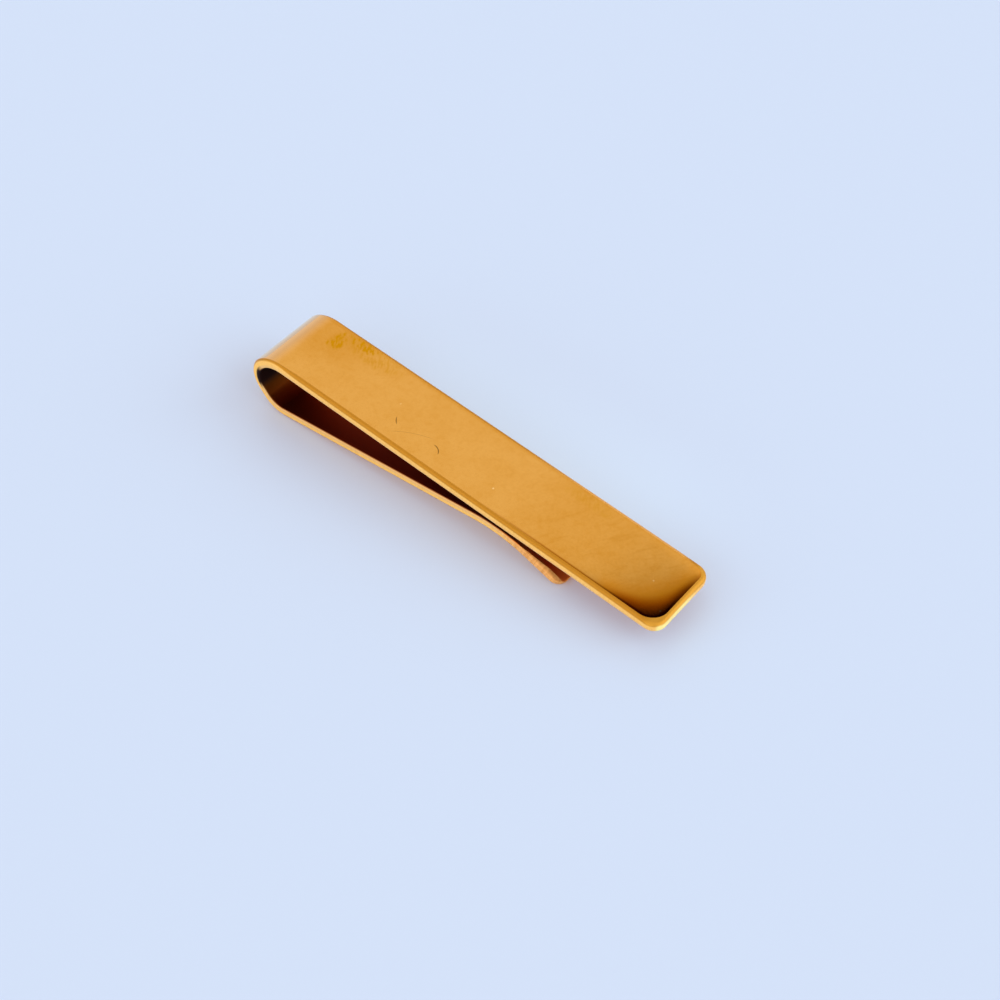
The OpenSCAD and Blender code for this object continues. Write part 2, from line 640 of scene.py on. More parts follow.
    def shift(self, flat: Vector) -> float:
        """Works out how far polishing moves a point of the blank through the thickness.

        Args:
            flat: A point (s, y, t) of the flat blank.

        Returns:
            The change of t: down from the outside face and up from the inside face.
        """
        share = (flat.z + self.half_thickness) / self.sizes.thickness
        side = self.half_width - min(abs(flat.y), self.half_width)
        drop = self.rim.drop(max(flat.x, 0.0), side)
        from_tip = max(self.form.length - flat.x, 0.0)
        if from_tip > self.rim.bevel_fade:
            return -drop * share
        below_rounding = 1 - (flat.z + self.half_thickness) / (self.sizes.thickness - self.sizes.outer_edge)
        return -drop * share + self.rim.bevel(from_tip, side) * max(below_rounding, 0.0)

    def polished(self, flat: Vector) -> Vector:
        """Returns where a point of the flat blank lies once its rim is worn."""
        return flat + Vector((0, 0, self.shift(flat)))

    def shift_rate(self, flat: Vector, way: Vector) -> float:
        """Returns how fast the shift changes at a point along a direction."""
        step = self.PROBE * way
        return (self.shift(flat + step) - self.shift(flat - step)) / (2 * self.PROBE)

    def normal(self, flat: Vector) -> Vector:
        """Works out the exact normal of the polished blank.

        Args:
            flat: A point (s, y, t) of the surface, before the rim is polished down.

        Returns:
            The normal of the worn surface, as (s, y, t).
        """
        inset, out = self.way_out(flat.x, flat.y)
        outer, inner = self.sizes.outer_edge, self.sizes.inner_edge
        above = flat.z - (self.half_thickness - outer)
        below = -flat.z - (self.half_thickness - inner)
        if above > self.SNAP:
            lean, level = max(0.0, outer - inset), above
        elif below > self.SNAP:
            lean, level = max(0.0, inner - inset), -below
        else:
            lean, level = 1.0, 0.0
        upright = Vector((lean * out.x, lean * out.y, level)).normalized()
        by_s, by_y, by_t = (self.shift_rate(flat, Vector(way)) for way in ((1, 0, 0), (0, 1, 0), (0, 0, 1)))
        level = upright.z / (1 + by_t)
        return Vector((upright.x - level * by_s, upright.y - level * by_y, level)).normalized()


@dataclass(frozen=True)
class Mark:
    """A short scratch or dent on the bar's face, along an arc of a circle in the strip's coordinates."""

    s: float
    y: float
    radius: float
    middle: float
    half_span: float
    width: float
    depth: float


@dataclass(frozen=True)
class Spot:
    """A soft round or oval spot on the bar's face."""

    s: float
    y: float
    half_s: float
    half_y: float
    strength: float


@dataclass(frozen=True)
class Pattern:
    """Noise laid over the strip, which may be turned about t and drawn out one way."""

    waves: float
    detail: float
    distortion: float = 0.0
    turn: float = 0.0
    waves_each_way: tuple[float, float, float] | None = None

    def over(self, sheet: NodeSheet, strip: Value) -> Value:
        """Lays the noise over the strip.

        Args:
            sheet: The sheet of nodes.
            strip: The strip's coordinates.

        Returns:
            The noise, around 0.5.
        """
        where = sheet.turned(strip, self.turn, self.waves_each_way) if self.waves_each_way else strip
        return sheet.noise(where, self.waves, self.detail, self.distortion)


@dataclass(frozen=True)
class Band:
    """A stretch of one coordinate, with a soft start and a soft end."""

    start: Ramp
    end: Ramp

    def mask(self, place: Value) -> Value:
        """Returns a mask that is 1 between the start and the end."""
        return place.rise(*self.start) * place.rise(*self.end)


@dataclass(frozen=True)
class CornerShade:
    """Painted shade in the face's near corner at the free end, which thins out across the bar."""

    margin: float
    spread: Ramp
    along: Ramp
    across: Ramp
    thinned: float

    def mask(self, s: Value, y: Value, from_near_side: Value) -> Value:
        """Works out how strong the painted shade is.

        Args:
            s: Place along the strip.
            y: Place across it.
            from_near_side: Distance from the near long edge.

        Returns:
            A mask from 0 to 1, strongest where both distances from the corner are small.
        """
        near_corner = (s * (from_near_side + self.margin)).rise(*self.spread)
        return near_corner * s.rise(*self.along) * (1.0 - self.thinned * y.rise(*self.across))


@dataclass(frozen=True)
class Zones:
    """Where the plating's look changes, in millimetres.

    A ramp goes from where its mask is 0 to where it is 1. The end of its name says what it is measured
    along: s, y or t, or inwards from the rim, or onwards from the end of the bar or the start of the
    heel or the tip.
    """

    face_t: Ramp = (0.55, 0.61)
    inside_t: Ramp = (-0.5, -0.61)
    edge_t: Ramp = (0.4, 0.18)
    low_edge_t: Ramp = (-0.05, -0.3)
    edge_lift_at_fold: float = 0.12
    end_edge_lift: float = 0.1
    end_edge_s: Ramp = (0.6, 0.3)
    end_edge_y: Ramp = (2.5, -0.5)
    texture_t: Ramp = (0.0, 0.3)
    dark_corner: float = 2.5
    ring_width: float = 0.44
    ring_wider: float = 0.13
    ring_wider_s: Ramp = (3.0, 1.0)
    ring_narrower: float = 0.14
    ring_end: Ramp = (0.03, -0.03)
    ring_t: Ramp = (0.1, 0.3)
    end_ring_s: Ramp = (2.2, 1.0)
    line_width: Ramp = (0.27, 0.02)
    line_wider: float = 0.15
    line_wider_s: Ramp = (8.0, 3.0)
    line_s: Ramp = (25.0, 12.0)
    line_y: Ramp = (0.0, -2.0)
    end_line_s: Ramp = (9.0, 3.0)
    far_line_from_rim: Ramp = (0.95, 0.5)
    far_line_y: Ramp = (2.0, 3.5)
    far_line_s: Ramp = (12.0, 26.0)
    far_line_least: float = 0.3
    far_light_y: Ramp = (0.0, 3.0)
    far_light_s: Band = Band((26.0, 14.0), (2.0, 4.0))
    far_inside_y: Ramp = (-0.5, 4.0)
    haze_s: Ramp = (24.0, 14.0)
    fold_haze_s: Ramp = (43.0, 50.0)
    fold_haze_y: Ramp = (-3.0, 1.5)
    streaks_s: Ramp = (24.0, 15.0)
    streaks_least: float = 0.25
    tinted_corner_shade: CornerShade = CornerShade(1.0, (28.0, 6.0), (9.0, 7.0), (1.0, 4.0), 0.6)
    # Painted shade, darkest in the near corner at the free end.
    dark_corner_shade: CornerShade = CornerShade(0.0, (10.0, 3.0), (8.0, 4.0), (0.5, 4.0), 0.7)
    fold_past_bar: Ramp = (-3.0, 1.0)
    fold_past_heel: Ramp = (0.0, -2.0)
    pale_past_bar: Ramp = (0.2, 2.5)
    pale_past_heel: Ramp = (0.0, -3.0)
    glare_past_bar: Band = Band((2.2, 4.2), (8.0, 6.0))
    hollow_past_bar: Band = Band((1.0, 3.0), (13.0, 8.0))
    hollow_y: Ramp = (4.0, 1.0)
    crease_past_bar: Band = Band((3.6, 5.2), (8.6, 7.2))
    crease_t: Ramp = (-0.02, -0.24)
    crease_y: Ramp = (1.0, -2.0)
    cut_past_tip: Ramp = (-5.0, 0.0)
    bevel_past_tip: Ramp = (-2.0, -1.0)
    bevel_t: Ramp = (-0.3, -0.55)
    bevel_side: Ramp = (-0.04, 0.02)


class StripSurface:
    """The strip's surface on a sheet of nodes: its coordinates, its patterns and its masks."""

    CLOUDS = Pattern(0.35, 3)
    CLOUD_LEVELS = (0.35, 0.65)
    FINE = Pattern(3.2, 3)
    STREAKS = Pattern(1.0, 2, 0.8, radians(120), (0.26, 1.5, 1.0))
    STREAK_LEVELS = (0.42, 0.85)
    SHEAR = Pattern(1.0, 5, 0.6, 0.0, (3.2, 0.4, 0.4))
    BLOTCH = Pattern(1.3, 5)
    GRAIN = Pattern(1.5, 5, 0.0, radians(55), (0.7, 2.0, 1.0))

    def __init__(
        self, sheet: NodeSheet, zones: Zones, sizes: StripSizes, form: ClipForm, rim_wear: PolishedRim
    ) -> None:
        """Reads the strip's own coordinates and lays the patterns over them.

        Args:
            sheet: The sheet of nodes.
            zones: Where the look changes.
            sizes: The driving sizes of the strip.
            form: The bent form, for where each bend lies along the strip.
            rim_wear: The worn rim, for where the tip's bevels start.
        """
        self.sheet = sheet
        self.zones = zones
        strip = sheet.add("ShaderNodeAttribute", {"attribute_name": STRIP_LAYER}, {}, "Vector")
        self.rim = sheet.add("ShaderNodeAttribute", {"attribute_name": RIM_LAYER}, {}, "Fac")
        split = sheet.node("ShaderNodeSeparateXYZ", {}, {0: strip})
        self.s, self.y, self.t = (Value(sheet, split.outputs[i]) for i in range(3))
        self.past_bar = self.s - form.bar.length
        self.past_heel = self.s - form.run_start(form.heel)
        self.past_tip = self.s - form.run_start(form.tip)
        self.from_near_side = self.y + sizes.width / 2
        self.past_bevel = self.bevel_side(sizes, form, rim_wear)

        some_left = zones.streaks_least + (1.0 - zones.streaks_least) * self.s.rise(*zones.streaks_s)
        self.clouds = self.CLOUDS.over(sheet, strip).rise(*self.CLOUD_LEVELS)
        self.fine = self.FINE.over(sheet, strip)
        self.streaks = self.STREAKS.over(sheet, strip).rise(*self.STREAK_LEVELS) * some_left
        self.shear = self.SHEAR.over(sheet, strip)
        self.blotch = self.BLOTCH.over(sheet, strip)
        self.grain = self.GRAIN.over(sheet, strip)

    def bevel_side(self, sizes: StripSizes, form: ClipForm, rim_wear: PolishedRim) -> Value:
        """Finds where the bevels of the tip start.

        Args:
            sizes: The driving sizes of the strip.
            form: The bent form, for the strip's length.
            rim_wear: The worn rim, for how the bevels grow.

        Returns:
            The distance past the inner side of the bevel, towards the nearer long edge.
        """
        grown = (self.s - (form.length - rim_wear.bevel_fade)) / rim_wear.bevel_fade
        return abs(self.y) + grown * rim_wear.bevel_reach - sizes.width / 2

    @cached_property
    def on_face(self) -> Value:
        """Masks the flat outside of the strip."""
        return self.t.rise(*self.zones.face_t)

    @cached_property
    def on_inside(self) -> Value:
        """Masks the flat inside of the strip."""
        return self.t.rise(*self.zones.inside_t)

    @cached_property
    def in_fold(self) -> Value:
        """Masks the strip from the end of the bar on."""
        return self.past_bar.rise(*self.zones.fold_past_bar)

    @cached_property
    def on_edge(self) -> Value:
        """Masks the cut edge of the strip, which reaches a little higher round the fold."""
        at_fold = self.in_fold * self.past_heel.rise(*self.zones.fold_past_heel)
        return (self.t - self.zones.edge_lift_at_fold * at_fold).rise(*self.zones.edge_t)

    @cached_property
    def past_ring(self) -> Value:
        """Measures how far in from the rounding of the face a point lies.

        Returns:
            The distance in millimetres, with a rounder course inside the near corner than the rim has.
        """
        zones = self.zones
        past_s = (zones.dark_corner - self.s).at_least(0.0)
        past_y = (zones.dark_corner - self.from_near_side).at_least(0.0)
        into_face = self.rim.at_most(zones.dark_corner - (past_s * past_s + past_y * past_y) ** 0.5)
        wider = zones.ring_wider * self.s.rise(*zones.ring_wider_s)
        return into_face - (zones.ring_width + wider - zones.ring_narrower * self.in_fold)

    @cached_property
    def on_rounding(self) -> Value:
        """Masks the rounding between the face and the edge."""
        return self.past_ring.rise(*self.zones.ring_end) * self.t.rise(*self.zones.ring_t)

    @cached_property
    def on_dark_reflection(self) -> Value:
        """Masks the painted dark reflection on the face beside its near rounding.

        Returns:
            The mask, which is wider towards the free end.
        """
        wider = self.zones.line_wider * self.s.rise(*self.zones.line_wider_s)
        in_width = (self.past_ring - wider).rise(*self.zones.line_width) * self.on_face
        return in_width * self.s.rise(*self.zones.line_s) * self.y.rise(*self.zones.line_y)

    @cached_property
    def on_far_line(self) -> Value:
        """Masks the deeper line along the far side of the face.

        Returns:
            The mask, which is weaker towards the free end.
        """
        least = self.zones.far_line_least
        along = least + (1.0 - least) * self.s.rise(*self.zones.far_line_s)
        near_rim = self.rim.rise(*self.zones.far_line_from_rim) * self.on_face
        return near_rim * self.y.rise(*self.zones.far_line_y) * along

    @cached_property
    def creased(self) -> Value:
        """Masks the crease in the hollow of the fold, which sees hardly any light."""
        deep = self.t.rise(*self.zones.crease_t) * self.y.rise(*self.zones.crease_y)
        return deep * self.zones.crease_past_bar.mask(self.past_bar)

    @cached_property
    def bevelled(self) -> Value:
        """Masks the bevels on the inside of the tip."""
        on_side = self.past_bevel.rise(*self.zones.bevel_side) * self.t.rise(*self.zones.bevel_t)
        return on_side * self.past_tip.rise(*self.zones.bevel_past_tip)

    @cached_property
    def in_tip(self) -> Value:
        """Masks the tip and the end of the pinch bend."""
        return self.past_tip.rise(*self.zones.cut_past_tip)

    @cached_property
    def on_bare_edge(self) -> Value:
        """Masks the edge without the roundings on the inside."""
        return self.on_edge * (1.0 - self.on_inside)

    @cached_property
    def cut_face(self) -> Value:
        """Masks all that was cut or filed: the edge and the bevels."""
        return self.on_bare_edge.at_least(self.bevelled)


@dataclass(frozen=True)
class GoldColours:
    """Colours of the plating in each place, with the reflections, highlights and shade that are painted into
    them.
    """

    face: Colour = (0.80, 0.392, 0.080)
    deep: Colour = (0.70, 0.30, 0.035)
    # Painted reflections round the fold, where the face sees the paper at a grazing angle: pale, then nearly
    # white.
    pale: Colour = (0.96, 0.56, 0.25)
    glare: Colour = (1.0, 0.80, 0.52)
    # The rounding is satin; its deep colour along the bar is partly painted dark reflection, and it is
    # lighter at the free end.
    rounding: Colour = (0.52, 0.212, 0.016)
    end_ring: Colour = (0.67, 0.31, 0.034)
    # Painted highlight on the far rounding near the free end.
    far_rounding_highlight: Colour = (0.75, 0.36, 0.09)
    # Painted dark reflection beside the near rounding, darkest towards the free end.
    line: Colour = (0.40, 0.115, 0.0)
    end_dark_reflection: Colour = (0.20, 0.012, 0.001)
    # The cut edge is satin and light in colour, and brighter near its top: partly painted highlight.
    edge: Colour = (1.0, 0.56, 0.13)
    low_edge: Colour = (0.87, 0.50, 0.17)
    # Painted glint on the edge at the free end.
    end_edge_glint: Colour = (1.0, 0.82, 0.28)
    tip_cut: Colour = (0.92, 0.44, 0.13)
    # Painted shade: a deeper, redder gold towards the near corner at the free end.
    tinted_shade: Colour = (0.79, 0.27, 0.003)
    shade: Colour = (0.58, 0.105, 0.0)
    # Painted shade on the inside: dark, lighter towards the far side, darkest in the hollow of the fold.
    inside: Colour = (0.25, 0.03, 0.004)
    far_inside: Colour = (0.66, 0.28, 0.05)
    hollow: Colour = (0.10, 0.028, 0.003)
    # Painted shade in the crease of the fold.
    crease: Colour = (0.012, 0.002, 0.001)
    # Painted light: the inside at the tip, open to the light, in a lighter red than the painted shade further
    # in.
    tip_inside: Colour = (0.95, 0.26, 0.045)
    tip_grain: Colour = (0.66, 0.25, 0.05)
    stain: Colour = (0.64, 0.27, 0.002)
    scratch: Colour = (0.12, 0.045, 0.004)
    dust: Colour = (1.0, 0.66, 0.30)


@dataclass(frozen=True)
class Strengths:
    """How strongly each pattern and mask shows, as a share of full strength."""

    clouds: float = 0.2
    broad_darkening: float = 0.4
    fold_darkening: float = 0.5
    streaks: float = 0.26
    blotch: float = 0.2
    blotch_levels: Ramp = (0.45, 0.7)
    far_line: float = 0.5
    fine: float = 0.15
    fine_levels: Ramp = (0.4, 0.7)
    stained: float = 0.85
    stain_least: float = 0.25
    stain_levels: Ramp = (0.42, 0.6)
    stain_softness: float = 0.5
    tinted_corner_shade: float = 0.9
    cut_marks: float = 0.2
    cut_levels: Ramp = (0.45, 0.7)
    tip_marks: float = 0.6
    tip_levels: Ramp = (0.42, 0.7)
    scratched: float = 0.8
    scratch_ends: Ramp = (1.15, 0.6)
    scratch_core: float = 0.3
    dusty: float = 0.7
    speck_softness: float = 0.2


@dataclass(frozen=True)
class Relief:
    """How far the surface stands up and down, as shares of the bump distance, and how rough it is."""

    roughness: float = 0.09
    inside_roughness: float = 0.34
    crease_roughness: float = 0.7
    rounding_roughness: float = 0.3
    edge_roughness: float = 0.36
    fine_roughness: float = 0.05
    streak_roughness: float = 0.03
    rounding_metallic: float = 0.4
    edge_metallic: float = 0.2
    specular_level: float = 0.1
    fine_height: float = 0.3
    streak_height: float = 0.15
    scratch_depth: float = 2.0
    cut_height: float = 1.5
    bump_distance: float = 0.7e-6


@dataclass(frozen=True)
class GoldPlate:
    """Polished gold plating, with what has happened to it: stains, scratches and polishing marks, and with
    light and shade painted into its colour.
    """

    name: str = "polished_gold_plate"
    colours: GoldColours = GoldColours()
    zones: Zones = Zones()
    strengths: Strengths = Strengths()
    relief: Relief = Relief()
    stains: tuple[Spot, ...] = (
        Spot(50.4, 2.3, 1.3, 1.7, 1.5),
        Spot(47.6, 3.7, 3.0, 0.9, 1.25),
        Spot(45.8, 3.2, 5.0, 1.6, 0.6),
        Spot(15.0, 3.4, 4.0, 1.0, 0.4),
    )
    marks: tuple[Mark, ...] = (
        Mark(37.74, -1.91, 1.31, radians(319), radians(19), 0.085, 1.0),
        Mark(31.71, -1.90, 1.04, radians(122), radians(39), 0.08, 1.0),
        Mark(35.26, -2.11, 10.76, radians(62), radians(13), 0.045, 0.35),
    )
    specks: tuple[Spot, ...] = (
        Spot(38.95, 0.18, 0.1, 0.1, 0.6),
        Spot(23.84, -2.01, 0.11, 0.11, 1.0),
        Spot(3.94, -0.19, 0.11, 0.11, 0.6),
        Spot(1.21, -2.71, 0.07, 0.18, 0.8),
    )

    def build(self, sizes: StripSizes, form: ClipForm, rim_wear: PolishedRim) -> bpy.types.Material:
        """Makes the material.

        Args:
            sizes: The driving sizes of the strip.
            form: The bent form, for where each bend lies along the strip.
            rim_wear: The worn rim, for where the tip's bevels end.

        Returns:
            The material, which reads the strip's own coordinates.
        """
        material = bpy.data.materials.new(self.name)
        material.use_nodes = True
        sheet = NodeSheet(material.node_tree)
        surface = StripSurface(sheet, self.zones, sizes, form, rim_wear)
        scratched = self.scratches(surface) * surface.on_face
        colour = self.face_colour(surface)
        colour = self.rim_colour(surface, colour)
        colour = self.inside_colour(surface, colour)
        colour = self.tip_colour(surface, colour)
        colour = self.marked_colour(surface, colour, scratched)
        shader = sheet.add(
            "ShaderNodeBsdfPrincipled",
            {},
            {
                "Base Color": colour,
                "Metallic": self.metallic(surface),
                "Roughness": self.roughness(surface),
                "Specular IOR Level": self.relief.specular_level,
                "Normal": self.normal(surface, scratched),
            },
        )
        sheet.node("ShaderNodeOutputMaterial", {}, {"Surface": shader})
        return material

    def face_colour(self, surface: StripSurface) -> Value:
        """Colours the outside of the strip, with its clouds and stains, darker towards the free end and the
        fold, with painted shade in the near corner at the free end, painted reflections round the fold and a
        painted dark reflection beside the near rounding.

        Args:
            surface: The strip's surface.

        Returns:
            The colour.
        """
        colours, zones, share, sheet = self.colours, self.zones, self.strengths, surface.sheet
        s, y = surface.s, surface.y
        # The face is darker towards the free end, and towards the fold on its far side.
        fold_darkening = s.rise(*zones.fold_haze_s) * y.rise(*zones.fold_haze_y) * share.fold_darkening
        broad_darkening = (s.rise(*zones.haze_s) * share.broad_darkening).at_least(fold_darkening)
        deepening = surface.clouds * share.clouds + surface.streaks * share.streaks + broad_darkening
        deepening = deepening + surface.blotch.rise(*share.blotch_levels) * share.blotch
        deepening = deepening + surface.on_far_line * share.far_line
        deepening = deepening + surface.fine.rise(*share.fine_levels) * share.fine
        uneven = share.stain_least + (1.0 - share.stain_least) * surface.grain.rise(*share.stain_levels)
        stained = self.spots(s, y, self.stains, share.stain_softness, surface.blotch)
        stained = stained * uneven * surface.on_face
        grazing_reflection = surface.past_bar.rise(*zones.pale_past_bar) * surface.past_heel.rise(*zones.pale_past_heel)
        tinted_corner_shade = zones.tinted_corner_shade.mask(s, y, surface.from_near_side)
        shading = zones.dark_corner_shade.mask(s, y, surface.from_near_side)
        # Painted dark reflection along the near side of the face, darker towards the free end.
        line = sheet.mix(s.rise(*zones.end_line_s), colours.line, colours.end_dark_reflection)

        colour = sheet.mix(deepening, colours.face, colours.deep)
        colour = sheet.mix(stained * share.stained, colour, colours.stain)
        # Painted reflection: round the fold the face pales to peach and then nearly white, where it sees the
        # paper at a grazing angle.
        colour = sheet.mix(grazing_reflection, colour, colours.pale)
        colour = sheet.mix(zones.glare_past_bar.mask(surface.past_bar), colour, colours.glare)
        # Painted shade: towards the near corner at the free end the face turns a deeper, redder gold.
        colour = sheet.mix(tinted_corner_shade * share.tinted_corner_shade, colour, colours.tinted_shade)
        # Painted shade: the near corner at the free end is darkest and reddest.
        colour = sheet.mix(shading, colour, colours.shade)
        return sheet.mix(surface.on_dark_reflection, colour, line)

    def rim_colour(self, surface: StripSurface, colour: Value) -> Value:
        """Colours the rounding and the edge of the strip, with light and shade partly painted into them.

        Args:
            surface: The strip's surface.
            colour: The colour so far.

        Returns:
            The colour.
        """
        colours, zones, sheet = self.colours, self.zones, surface.sheet
        s, y, t = surface.s, surface.y, surface.t
        # Painted highlight: the rounding on the far side is lighter along the bar near its free end.
        far_light = y.rise(*zones.far_light_y) * zones.far_light_s.mask(s)
        # The satin rounding: deep along the bar, partly as painted dark reflection, and lighter round the
        # free end.
        rounding = sheet.mix(s.rise(*zones.end_ring_s), colours.rounding, colours.end_ring)
        rounding = sheet.mix(far_light, rounding, colours.far_rounding_highlight)
        # The cut edge is brighter near its top, partly as painted highlight.
        edge = sheet.mix(t.rise(*zones.low_edge_t), colours.edge, colours.low_edge)
        # Painted glint: the edge at the free end is a light yellow, mostly on its near part.
        on_end = s.rise(*zones.end_edge_s) * y.rise(*zones.end_edge_y)
        end_edge_glint = (t - zones.end_edge_lift).rise(*zones.edge_t) * on_end

        colour = sheet.mix(surface.on_rounding, colour, rounding)
        colour = sheet.mix(surface.on_edge, colour, edge)
        return sheet.mix(end_edge_glint, colour, colours.end_edge_glint)

    def inside_colour(self, surface: StripSurface, colour: Value) -> Value:
        """Paints shade on the inside of the strip: dark, lighter towards the far side, and darker still in
        the hollow of the fold.

        Args:
            surface: The strip's surface.
            colour: The colour so far.

        Returns:
            The colour.
        """
        colours, zones, sheet = self.colours, self.zones, surface.sheet
        # Painted shade: the inside is dark, and lighter towards the far side.
        inside = sheet.mix(surface.y.rise(*zones.far_inside_y), colours.inside, colours.far_inside)
        in_hollow = zones.hollow_past_bar.mask(surface.past_bar) * surface.y.rise(*zones.hollow_y)
        colour = sheet.mix(surface.on_inside, colour, inside)
        # Painted shade, darker still in the hollow of the fold.
        return sheet.mix(surface.on_inside * in_hollow, colour, colours.hollow)

    def tip_colour(self, surface: StripSurface, colour: Value) -> Value:
        """Colours the inside and the cut faces of the tip, and the marks of the shear on all cut faces.

        Args:
            surface: The strip's surface.
            colour: The colour so far.

        Returns:
            The colour, with the painted shade of the fold's crease laid over it.
        """
        colours, share, sheet = self.colours, self.strengths, surface.sheet
        shear, cut_face = surface.shear, surface.cut_face
        cut_at_tip = (surface.on_bare_edge * surface.in_tip).at_least(surface.bevelled)
        # Painted light: at the tip the inside is open to the light and is a lighter red than the painted
        # shade further in.
        colour = sheet.mix(surface.on_inside * surface.in_tip, colour, colours.tip_inside)
        colour = sheet.mix(cut_at_tip, colour, colours.tip_cut)
        colour = sheet.mix(cut_face * share.cut_marks * shear.rise(*share.cut_levels), colour, colours.deep)
        marked = cut_face * surface.in_tip * shear.rise(*share.tip_levels) * share.tip_marks
        colour = sheet.mix(marked, colour, colours.tip_grain)
        # Painted shade in the crease of the fold.
        return sheet.mix(surface.creased, colour, colours.crease)

    def marked_colour(self, surface: StripSurface, colour: Value, scratched: Value) -> Value:
        """Lays the scratches and the specks of dust over the colour.

        Args:
            surface: The strip's surface.
            colour: The colour so far.
            scratched: Mask of the scratches.

        Returns:
            The finished colour.
        """
        colours, share, sheet = self.colours, self.strengths, surface.sheet
        dusty = self.spots(surface.s, surface.y, self.specks, share.speck_softness, surface.fine)
        colour = sheet.mix(scratched * share.scratched, colour, colours.scratch)
        return sheet.mix(dusty * surface.on_face * share.dusty, colour, colours.dust)

    def roughness(self, surface: StripSurface) -> Value:
        """Works out the roughness of the surface.

        Args:
            surface: The strip's surface.

        Returns:
            The roughness, which is least on the polished faces.
        """
        relief = self.relief
        rough = relief.roughness + (surface.fine - 0.5) * relief.fine_roughness
        rough = rough + surface.streaks * relief.streak_roughness
        rough = rough + surface.on_inside * (relief.inside_roughness - relief.roughness)
        off_edge = surface.on_rounding * (1.0 - surface.on_edge)
        rough = rough + off_edge * (relief.rounding_roughness - relief.roughness)
        rough = rough + surface.cut_face * (relief.edge_roughness - relief.roughness)
        return rough + surface.creased * (relief.crease_roughness - rough)

    def metallic(self, surface: StripSurface) -> Value:
        """Works out how metallic the surface looks.

        Args:
            surface: The strip's surface.

        Returns:
            The metallic share: 1 on the faces, less where the metal is rough, and 0 in the crease.
        """
        off_edge = surface.on_rounding * (1.0 - surface.on_edge)
        metallic = 1.0 - off_edge * (1.0 - self.relief.rounding_metallic)
        return (metallic - surface.cut_face * (1.0 - self.relief.edge_metallic)) * (1.0 - surface.creased)

    def normal(self, surface: StripSurface, scratched: Value) -> Value:
        """Makes the fine relief of the surface: polishing marks, scratches and shear marks.

        Args:
            surface: The strip's surface.
            scratched: Mask of the scratches.

        Returns:
            The normal.
        """
        relief = self.relief
        polish = surface.fine * relief.fine_height + surface.streaks * relief.streak_height
        height = polish * surface.t.rise(*self.zones.texture_t) - scratched * relief.scratch_depth
        height = height + (surface.shear - 0.5) * surface.cut_face * relief.cut_height
        inputs = {"Strength": 1.0, "Distance": relief.bump_distance, "Height": height}
        return surface.sheet.add("ShaderNodeBump", {}, inputs)

    def spots(self, s: Value, y: Value, spots: tuple[Spot, ...], soft: float, ragged: Value) -> Value:
        """Draws a group of soft oval spots.

        Args:
            s: Place along the strip.
            y: Place across it.
            spots: The spots.
            soft: Share of each spot's radius over which it fades.
            ragged: Noise that makes the outlines uneven.

        Returns:
            A mask from 0 to 1.
        """
        masks = []
        for spot in spots:
            far_s = (s - spot.s) / spot.half_s
            far_y = (y - spot.y) / spot.half_y
            far = (far_s * far_s + far_y * far_y) ** 0.5 + (ragged - 0.5) * soft * 2
            masks.append(far.rise(1.0, 1.0 - soft) * spot.strength)
        return reduce(Value.at_least, masks)

    def scratches(self, surface: StripSurface) -> Value:
        """Draws the scratches and dents of the face.

        Args:
            surface: The strip's surface.

        Returns:
            A mask from 0 to 1.
        """
        share = self.strengths
        masks = []
        for mark in self.marks:
            from_s = surface.s - (mark.s - mark.radius * cos(mark.middle))
            from_y = surface.y - (mark.y - mark.radius * sin(mark.middle))
            away = abs((from_s * from_s + from_y * from_y) ** 0.5 - mark.radius)
            towards = from_s * cos(mark.middle) + from_y * sin(mark.middle)
            first, last = (mark.radius * cos(mark.half_span * part) for part in share.scratch_ends)
            stroke = away.rise(mark.width, mark.width * share.scratch_core) * towards.rise(first, last)
            masks.append(stroke * mark.depth)
        return reduce(Value.at_least, masks)


@dataclass(frozen=True)
class Section:
    """One divided length of the strip: what it is called, stands for and is carried by."""

    name: str
    first: float
    last: float
    nodes: tuple[str, ...]
    hold: Hold
    bodies: tuple[str, ...]


